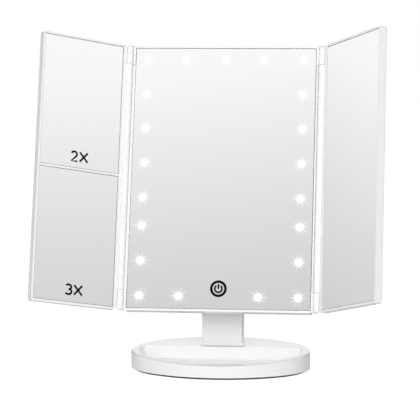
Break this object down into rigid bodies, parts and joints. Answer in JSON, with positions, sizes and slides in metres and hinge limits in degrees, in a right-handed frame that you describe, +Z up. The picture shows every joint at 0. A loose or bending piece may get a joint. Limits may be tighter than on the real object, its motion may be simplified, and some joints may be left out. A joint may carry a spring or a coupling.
{
  "type": "trifold vanity mirror",
  "caption": "Trifold vanity mirror with a lit centre pane, folding side mirrors, a tilt hinge and an oval tray base.",
  "frame": {"origin": "middle of the base's resting face, on the table", "axes": "+Z up, the mirrors face -Y, +X to the right of someone who looks along +Y at the mirrors"},
  "size_m": [0.3062, 0.15, 0.3052],
  "materials": {
    "white_gloss": "moulded white ABS, polished",
    "light_plastic": "moulded, fine texture",
    "rubber_grey": "dull anti-slip foam rubber",
    "foam_grey": "double-sided foam tape",
    "steel": "zinc plated",
    "mirror_glass": "silvered glass, polished",
    "frosted_window": "etched window in the silvering, lit",
    "led_package": "phosphor cover",
    "white_board": "white solder mask",
    "green_board": "green solder mask",
    "copper": "plated spring metal",
    "dark_plastic": "moulded, satin",
    "wire_red": "soft insulation",
    "cell_case": "plain printed jacket"
  },
  "bodies": {
    "base": {"base_shell": "white_gloss", "base_bottom_plate": "light_plastic", "base_pad": "rubber_grey", "base_screws": "steel", "stand_post": "white_gloss", "post_collar": "white_gloss", "post_screws": "steel"},
    "head": {"front_frame": "white_gloss", "rear_cover": "white_gloss", "cover_screws": "steel", "main_mirror": "mirror_glass", "led_windows": "frosted_window", "led_board": "white_board", "leds": "led_package", "touch_electrode": "copper", "touch_board": "green_board", "control_board": "green_board", "board_screws": "steel", "usb_socket": "steel", "switch_body": "dark_plastic", "wiring": "wire_red", "batteries": "cell_case", "battery_contacts": "copper", "hinge_pins": "steel", "tilt_shaft": "steel", "tilt_nut": "steel", "friction_washers": "rubber_grey", "ear_caps": "white_gloss"},
    "switch_slider": {"switch_knob": "dark_plastic"},
    "door": {"battery_door": "white_gloss"},
    "left_wing": {"left_frame": "white_gloss", "left_back_cover": "white_gloss", "mirror_2x": "mirror_glass", "mirror_3x": "mirror_glass", "left_tape": "foam_grey"},
    "right_wing": {"right_frame": "white_gloss", "right_back_cover": "white_gloss", "right_mirror": "mirror_glass", "right_tape": "foam_grey"}
  },
  "joints": [
    {"name": "tilt_hinge", "type": "hinge", "parent": "base", "child": "head", "pos_m": [0, 0.0185, 0.0575], "axis": [-1, 0, 0], "range_deg": [-31.8, 73.2]},
    {"name": "left_wing_hinge", "type": "hinge", "parent": "head", "child": "left_wing", "pos_m": [-0.0867, -0.02094, 0.06941], "axis": [0, 0.289, 0.9573], "range_deg": [-36.3, 143.7]},
    {"name": "right_wing_hinge", "type": "hinge", "parent": "head", "child": "right_wing", "pos_m": [0.0867, -0.02094, 0.06941], "axis": [0, -0.289, -0.9573], "range_deg": [-51.9, 128.1]},
    {"name": "power_switch_slide", "type": "slide", "parent": "head", "child": "switch_slider", "axis": [0, 0.289, 0.9573], "range_m": [0, 0.003]},
    {"name": "battery_door_slide", "type": "slide", "parent": "head", "child": "door", "axis": [0, 0.289, 0.9573], "range_m": [0, 0.06]}
  ]
}
